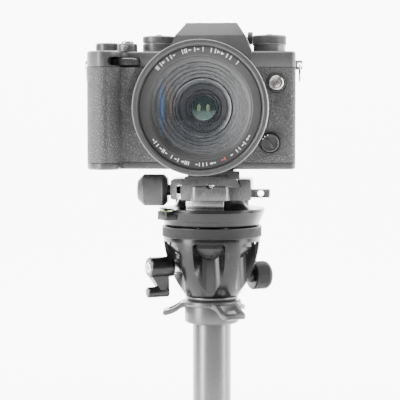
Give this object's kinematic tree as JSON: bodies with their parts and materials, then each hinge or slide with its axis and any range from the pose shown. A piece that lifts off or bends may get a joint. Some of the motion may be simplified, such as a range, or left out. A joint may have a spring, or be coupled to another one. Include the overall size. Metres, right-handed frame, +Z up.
{
  "type": "camera on tripod",
  "caption": "Mirrorless camera with zoom lens held by a quick-release clamp on a levelling head, over a sliding column and a folding three-legged tripod.",
  "frame": {"origin": "on the floor under the column's axis, at the bottom centre of the whole object", "axes": "+X to the right of someone facing the lens, +Y away from them (the lens looks along -Y), +Z up"},
  "size_m": [0.1914, 0.2173, 0.3952],
  "materials": {
    "tripod_metal": "satin",
    "column_metal": "satin",
    "steel": "satin",
    "rubber_feet": "matte",
    "head_black": "satin",
    "knurl_black": "satin",
    "nickel": "polished",
    "ball_metal": "satin",
    "washer_plastic": "matte",
    "pad_metal": "satin",
    "vial_green": "gloss",
    "clamp_grey": "satin",
    "clamp_dark": "satin",
    "cover_metal": "satin",
    "covering": "matte",
    "dial_metal": "satin",
    "control_black": "satin",
    "chrome_trim": "polished",
    "eyecup_rubber": "matte",
    "optic_glass": "gloss",
    "screen_glass": "gloss",
    "sensor": "gloss",
    "lens_black": "satin",
    "ring_rubber": "matte"
  },
  "bodies": {
    "tripod": {"spider": "tripod_metal", "leg_bolts": "steel"},
    "front_left_leg": {"leg_front_left": "column_metal", "foot_front_left": "rubber_feet"},
    "front_right_leg": {"leg_front_right": "column_metal", "foot_front_right": "rubber_feet"},
    "rear_leg": {"leg_rear": "column_metal", "foot_rear": "rubber_feet"},
    "column": {"column_tube": "column_metal", "plate_collar": "tripod_metal", "top_plate": "tripod_metal", "head_seat": "tripod_metal"},
    "column_knob": {"column_knob": "knurl_black"},
    "housing": {"head_housing": "head_black", "knurled_collar": "knurl_black", "brake_bushing": "nickel"},
    "lock_lever": {"lock_lever": "head_black", "lever_bolt": "nickel"},
    "pan_knob": {"pan_knob": "knurl_black"},
    "washer": {"friction_washer": "washer_plastic"},
    "platform": {"level_ball": "ball_metal", "level_platform": "head_black", "platform_pads": "pad_metal", "bubble_level": "vial_green", "clamp_body": "clamp_grey"},
    "jaw": {"clamp_jaw": "clamp_grey"},
    "clamp_knob": {"clamp_knob": "clamp_dark"},
    "camera": {"bottom_cover": "cover_metal", "front_casing": "cover_metal", "rear_casing": "cover_metal", "top_cover": "cover_metal", "body_covering": "covering", "strap_lugs": "cover_metal", "lens_mount": "chrome_trim", "image_sensor": "sensor", "eyecup": "eyecup_rubber", "viewfinder_lens": "optic_glass", "release_plate": "clamp_dark", "plate_screw": "steel", "lens_barrel": "lens_black"},
    "inner_barrel": {"inner_barrel": "lens_black", "retaining_ring": "lens_black", "front_lens": "optic_glass"},
    "shutter_dial": {"shutter_dial": "dial_metal"},
    "iso_dial": {"iso_dial": "dial_metal"},
    "exposure_dial": {"exposure_dial": "dial_metal"},
    "shutter_button": {"shutter_button": "dial_metal"},
    "power_lever": {"power_lever": "dial_metal"},
    "front_dial": {"front_dial": "dial_metal"},
    "rear_dial": {"rear_dial": "dial_metal"},
    "focus_selector": {"focus_selector": "control_black"},
    "sync_cap": {"sync_cap": "chrome_trim"},
    "strap_ring_left": {"strap_ring_left": "chrome_trim"},
    "strap_ring_right": {"strap_ring_right": "chrome_trim"},
    "rear_screen": {"rear_screen": "screen_glass"},
    "battery_door": {"battery_door": "cover_metal"},
    "menu_pad": {"menu_pad": "control_black"},
    "aperture_ring": {"aperture_ring": "lens_black"},
    "zoom_ring": {"zoom_ring": "ring_rubber"},
    "focus_ring": {"focus_ring": "ring_rubber"}
  },
  "joints": [
    {"name": "front_left_leg_fold", "type": "hinge", "parent": "tripod", "child": "front_left_leg", "pos_m": [-0.02338, -0.0135, 0.125], "axis": [0.5, -0.866, 0], "range_deg": [0, 30]},
    {"name": "front_right_leg_fold", "type": "hinge", "parent": "tripod", "child": "front_right_leg", "pos_m": [0.02338, -0.0135, 0.125], "axis": [0.5, 0.866, 0], "range_deg": [0, 30]},
    {"name": "rear_leg_fold", "type": "hinge", "parent": "tripod", "child": "rear_leg", "pos_m": [0, 0.027, 0.125], "axis": [-1, 0, 0], "range_deg": [0, 30]},
    {"name": "column_slide", "type": "slide", "parent": "tripod", "child": "column", "axis": [0, 0, 1], "range_m": [-0.038, 0]},
    {"name": "column_knob_turn", "type": "hinge", "parent": "tripod", "child": "column_knob", "pos_m": [0.02165, 0.0125, 0.126], "axis": [0.866, 0.5, 0], "range_deg": [-180, 180]},
    {"name": "base_pan", "type": "hinge", "parent": "column", "child": "housing", "pos_m": [0, 0, 0.219], "axis": [0, 0, 1], "continuous": true},
    {"name": "lock_lever_turn", "type": "hinge", "parent": "housing", "child": "lock_lever", "pos_m": [-0.03031, -0.0175, 0.2393], "axis": [-0.866, -0.5, 0], "range_deg": [-50, 50]},
    {"name": "pan_knob_turn", "type": "hinge", "parent": "housing", "child": "pan_knob", "pos_m": [0.03031, 0.0175, 0.2305], "axis": [0.866, 0.5, 0], "range_deg": [-180, 180]},
    {"name": "tilt_forward", "type": "hinge", "parent": "housing", "child": "washer", "pos_m": [0, 0, 0.271], "axis": [1, 0, 0], "range_deg": [-5, 5]},
    {"name": "tilt_sideways", "type": "hinge", "parent": "washer", "child": "platform", "pos_m": [0, 0, 0.271], "axis": [0, 1, 0], "range_deg": [-5, 5]},
    {"name": "jaw_slide", "type": "slide", "parent": "platform", "child": "jaw", "axis": [-1, 0, 0], "range_m": [0, 0.003]},
    {"name": "clamp_knob_turn", "type": "hinge", "parent": "jaw", "child": "clamp_knob", "pos_m": [-0.038, 0, 0.2878], "axis": [-1, 0, 0], "range_deg": [0, 1350]},
    {"name": "plate_slide", "type": "slide", "parent": "platform", "child": "camera", "axis": [0, 1, 0], "range_m": [-0.01, 0.01]},
    {"name": "shutter_dial_turn", "type": "hinge", "parent": "camera", "child": "shutter_dial", "pos_m": [-0.0345, 0.002, 0.382], "axis": [0, 0, 1], "continuous": true},
    {"name": "iso_dial_turn", "type": "hinge", "parent": "camera", "child": "iso_dial", "pos_m": [0.037, 0.002, 0.382], "axis": [0, 0, 1], "continuous": true},
    {"name": "exposure_dial_turn", "type": "hinge", "parent": "camera", "child": "exposure_dial", "pos_m": [-0.0688, 0.006, 0.38], "axis": [0, 0, 1], "range_deg": [-120, 120]},
    {"name": "shutter_button_press", "type": "slide", "parent": "camera", "child": "shutter_button", "axis": [0, 0, -1], "range_m": [0, 0.0006], "stiffness_N_per_m": 400, "springref_m": -0.0004},
    {"name": "power_lever_turn", "type": "hinge", "parent": "camera", "child": "power_lever", "pos_m": [-0.054, -0.009, 0.38], "axis": [0, 0, 1], "range_deg": [0, 45]},
    {"name": "front_dial_turn", "type": "hinge", "parent": "camera", "child": "front_dial", "pos_m": [-0.054, -0.0135, 0.37], "axis": [0, 0, 1], "continuous": true},
    {"name": "rear_dial_turn", "type": "hinge", "parent": "camera", "child": "rear_dial", "pos_m": [-0.036, 0.0105, 0.37], "axis": [0, 0, 1], "continuous": true},
    {"name": "focus_selector_turn", "type": "hinge", "parent": "camera", "child": "focus_selector", "pos_m": [0.038, -0.019, 0.3189], "axis": [0, -1, 0], "range_deg": [-35, 35]},
    {"name": "sync_cap_turn", "type": "hinge", "parent": "camera", "child": "sync_cap", "pos_m": [0.0419, -0.018, 0.357], "axis": [0, -1, 0], "range_deg": [0, 720]},
    {"name": "strap_ring_left_swing", "type": "hinge", "parent": "camera", "child": "strap_ring_left", "pos_m": [-0.0808, 0, 0.3685], "axis": [0, 1, 0], "range_deg": [0, 90]},
    {"name": "strap_ring_right_swing", "type": "hinge", "parent": "camera", "child": "strap_ring_right", "pos_m": [0.0566, 0, 0.3685], "axis": [0, -1, 0], "range_deg": [0, 90]},
    {"name": "rear_screen_swing", "type": "hinge", "parent": "camera", "child": "rear_screen", "pos_m": [0.0328, 0.0189, 0.336], "axis": [0, 0, -1], "range_deg": [0, 170]},
    {"name": "battery_door_swing", "type": "hinge", "parent": "camera", "child": "battery_door", "pos_m": [-0.07585, 0, 0.30205], "axis": [0, 1, 0], "range_deg": [0, 90]},
    {"name": "menu_pad_press", "type": "slide", "parent": "camera", "child": "menu_pad", "axis": [0, -1, 0], "range_m": [0, 0.0004], "stiffness_N_per_m": 300, "springref_m": -0.0003},
    {"name": "aperture_ring_turn", "type": "hinge", "parent": "camera", "child": "aperture_ring", "pos_m": [0, -0.036, 0.341], "axis": [0, -1, 0], "range_deg": [-60, 60]},
    {"name": "zoom_ring_turn", "type": "hinge", "parent": "camera", "child": "zoom_ring", "pos_m": [0, -0.055, 0.341], "axis": [0, -1, 0], "range_deg": [0, 80]},
    {"name": "zoom_extend", "type": "slide", "parent": "camera", "child": "inner_barrel", "axis": [0, -1, 0], "range_m": [0, 0.022]},
    {"name": "focus_ring_turn", "type": "hinge", "parent": "camera", "child": "focus_ring", "pos_m": [0, -0.086, 0.341], "axis": [0, -1, 0], "continuous": true}
  ],
  "couplings": [
    {"joint": "clamp_knob_turn", "follows": "jaw_slide", "rad_per_m": 7846.1},
    {"joint": "zoom_ring_turn", "follows": "zoom_extend", "rad_per_m": 63.403}
  ]
}
